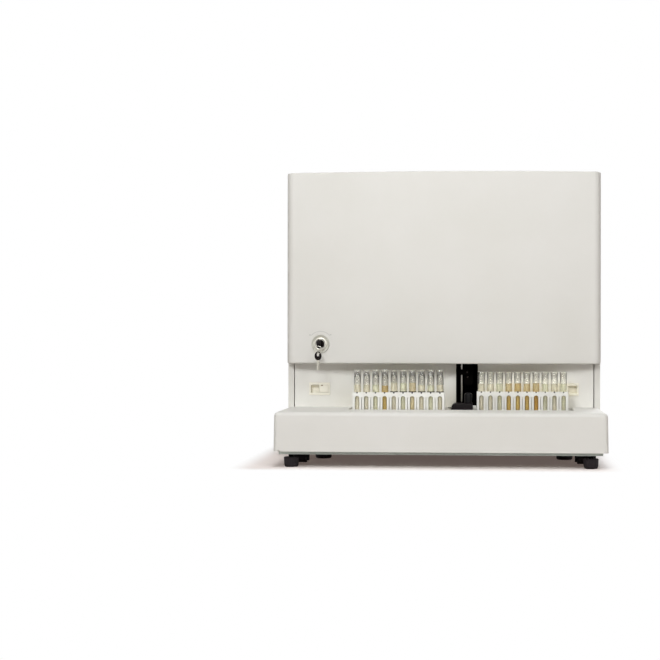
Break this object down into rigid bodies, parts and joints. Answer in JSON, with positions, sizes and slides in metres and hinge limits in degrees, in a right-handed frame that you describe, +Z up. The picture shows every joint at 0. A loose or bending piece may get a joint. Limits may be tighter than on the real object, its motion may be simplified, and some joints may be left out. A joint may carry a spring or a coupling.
{
  "type": "urine sediment analyzer",
  "caption": "Benchtop analyzer with a bowed lift-up front cover over a recess, where racks of sample tubes stand in a sampler tray beside a sampling needle.",
  "frame": {"origin": "on the bench, under the middle of the machine's outline", "axes": "+X to the machine's right as seen from its front, +Y from the front to the back, +Z up"},
  "size_m": [0.7, 0.66, 0.64],
  "materials": {
    "cover_paint": "fine-textured warm white moulding",
    "panel_paint": "warm white powder coat",
    "tray_plastic": "warm white moulding",
    "chassis_paint": "greenish grey coat",
    "ivory_plastic": "satin ivory moulding",
    "rack_plastic": "white moulding",
    "black_plastic": "black moulding",
    "grey_plastic": "grey moulding",
    "bay_paint": "matt black coat",
    "foot_rubber": "matt black rubber",
    "needle_steel": "ground",
    "pump_metal": "machined",
    "scope_casting": "grey coated casting",
    "lock_chrome": "polished plating",
    "tube_glass": "clear"
  },
  "bodies": {
    "main_unit": {"base_chassis": "chassis_paint", "sampler_tray": "tray_plastic", "left_side_panel": "panel_paint", "right_side_panel": "panel_paint", "rear_panel": "panel_paint", "top_panel": "panel_paint", "recess_panel": "panel_paint", "sampling_bay": "bay_paint", "left_latch_frame": "ivory_plastic", "right_latch_frame": "ivory_plastic", "mid_left_foot": "foot_rubber", "mid_right_foot": "foot_rubber", "rear_left_foot": "foot_rubber", "rear_right_foot": "foot_rubber", "microscope": "scope_casting", "syringe_pump": "pump_metal", "power_inlet": "black_plastic"},
    "cover": {"front_cover": "cover_paint", "lock_ring": "lock_chrome"},
    "lock": {"lock_barrel": "lock_chrome"},
    "inserted_key": {"door_key": "black_plastic"},
    "split_ring": {"key_ring": "needle_steel"},
    "hanging_key": {"spare_key": "black_plastic"},
    "left_tab": {"left_latch_slide": "ivory_plastic"},
    "right_tab": {"right_latch_slide": "ivory_plastic"},
    "carriage": {"probe_carriage": "black_plastic"},
    "probe": {"sample_probe": "needle_steel"},
    "shuttle": {"rack_shuttle": "black_plastic"},
    "roller": {"tube_roller": "grey_plastic"},
    "left_rack_set": {"left_rack": "rack_plastic", "left_tube_01": "tube_glass", "left_tube_02": "tube_glass", "left_tube_03": "tube_glass", "left_tube_04": "tube_glass", "left_tube_05": "tube_glass", "left_tube_06": "tube_glass", "left_tube_07": "tube_glass", "left_tube_08": "tube_glass", "left_tube_09": "tube_glass", "left_tube_10": "tube_glass"},
    "right_rack_set": {"right_rack": "rack_plastic", "right_tube_01": "tube_glass", "right_tube_02": "tube_glass", "right_tube_03": "tube_glass", "right_tube_04": "tube_glass", "right_tube_05": "tube_glass", "right_tube_06": "tube_glass", "right_tube_07": "tube_glass", "right_tube_08": "tube_glass", "right_tube_09": "tube_glass", "right_tube_10": "tube_glass"},
    "front_left_leveller": {"front_left_foot": "foot_rubber"},
    "front_right_leveller": {"front_right_foot": "foot_rubber"},
    "left_caster": {"left_caster_fork": "bay_paint"},
    "right_caster": {"right_caster_fork": "bay_paint"},
    "left_wheel": {"left_caster_wheel": "foot_rubber"},
    "right_wheel": {"right_caster_wheel": "foot_rubber"},
    "plunger": {"syringe_plunger": "black_plastic"},
    "fan": {"cooling_fan": "black_plastic"},
    "switch_rocker": {"power_switch": "black_plastic"}
  },
  "joints": [
    {"name": "cover_hinge", "type": "hinge", "parent": "main_unit", "child": "cover", "pos_m": [0, -0.1, 0.6365], "axis": [-1, 0, 0], "range_deg": [0, 75]},
    {"name": "lock_turn", "type": "hinge", "parent": "cover", "child": "lock", "pos_m": [-0.272, -0.13822, 0.2585], "axis": [0.1225, 0.9925, 0], "range_deg": [-90, 0]},
    {"name": "key_pull", "type": "slide", "parent": "lock", "child": "inserted_key", "axis": [-0.1225, -0.9925, 0], "range_m": [0, 0.035]},
    {"name": "ring_swing", "type": "hinge", "parent": "inserted_key", "child": "split_ring", "pos_m": [-0.2748, -0.16095, 0.2555], "axis": [0.9925, -0.1225, 0], "range_deg": [-60, 10]},
    {"name": "spare_key_swing", "type": "hinge", "parent": "split_ring", "child": "hanging_key", "pos_m": [-0.2748, -0.16095, 0.2355], "axis": [0.9925, -0.1225, 0], "range_deg": [-60, 10]},
    {"name": "left_latch_travel", "type": "slide", "parent": "main_unit", "child": "left_tab", "axis": [-1, 0, 0], "range_m": [0, 0.014]},
    {"name": "right_latch_travel", "type": "slide", "parent": "main_unit", "child": "right_tab", "axis": [1, 0, 0], "range_m": [0, 0.014]},
    {"name": "carriage_travel", "type": "slide", "parent": "main_unit", "child": "carriage", "axis": [0, -1, 0], "range_m": [0, 0.028]},
    {"name": "probe_lift", "type": "slide", "parent": "carriage", "child": "probe", "axis": [0, 0, 1], "range_m": [0, 0.078]},
    {"name": "shuttle_travel", "type": "slide", "parent": "main_unit", "child": "shuttle", "axis": [1, 0, 0], "range_m": [-0.2, 0]},
    {"name": "roller_spin", "type": "hinge", "parent": "shuttle", "child": "roller", "pos_m": [0.0565, -0.14, 0.14], "axis": [0, 0, 1], "continuous": true},
    {"name": "left_rack_shift", "type": "slide", "parent": "main_unit", "child": "left_rack_set", "axis": [0, 1, 0], "range_m": [0, 0.056]},
    {"name": "right_rack_shift", "type": "slide", "parent": "shuttle", "child": "right_rack_set", "axis": [0, -1, 0], "range_m": [0, 0.056]},
    {"name": "front_left_foot_turn", "type": "hinge", "parent": "main_unit", "child": "front_left_leveller", "pos_m": [-0.315, -0.3, 0.02], "axis": [0, 0, 1], "continuous": true},
    {"name": "front_right_foot_turn", "type": "hinge", "parent": "main_unit", "child": "front_right_leveller", "pos_m": [0.315, -0.3, 0.02], "axis": [0, 0, 1], "continuous": true},
    {"name": "left_caster_swivel", "type": "hinge", "parent": "main_unit", "child": "left_caster", "pos_m": [-0.308, -0.24, 0.026], "axis": [0, 0, 1], "continuous": true},
    {"name": "right_caster_swivel", "type": "hinge", "parent": "main_unit", "child": "right_caster", "pos_m": [0.308, -0.24, 0.026], "axis": [0, 0, 1], "continuous": true},
    {"name": "left_wheel_spin", "type": "hinge", "parent": "left_caster", "child": "left_wheel", "pos_m": [-0.308, -0.228, 0.0136], "axis": [1, 0, 0], "continuous": true},
    {"name": "right_wheel_spin", "type": "hinge", "parent": "right_caster", "child": "right_wheel", "pos_m": [0.308, -0.228, 0.0136], "axis": [1, 0, 0], "continuous": true},
    {"name": "plunger_stroke", "type": "slide", "parent": "main_unit", "child": "plunger", "axis": [0, 0, 1], "range_m": [-0.045, 0]},
    {"name": "fan_spin", "type": "hinge", "parent": "main_unit", "child": "fan", "pos_m": [0.19, 0.3134, 0.47], "axis": [0, 1, 0], "continuous": true},
    {"name": "power_switch_rock", "type": "hinge", "parent": "main_unit", "child": "switch_rocker", "pos_m": [-0.25, 0.3218, 0.129], "axis": [1, 0, 0], "range_deg": [-13.7, 0]}
  ]
}
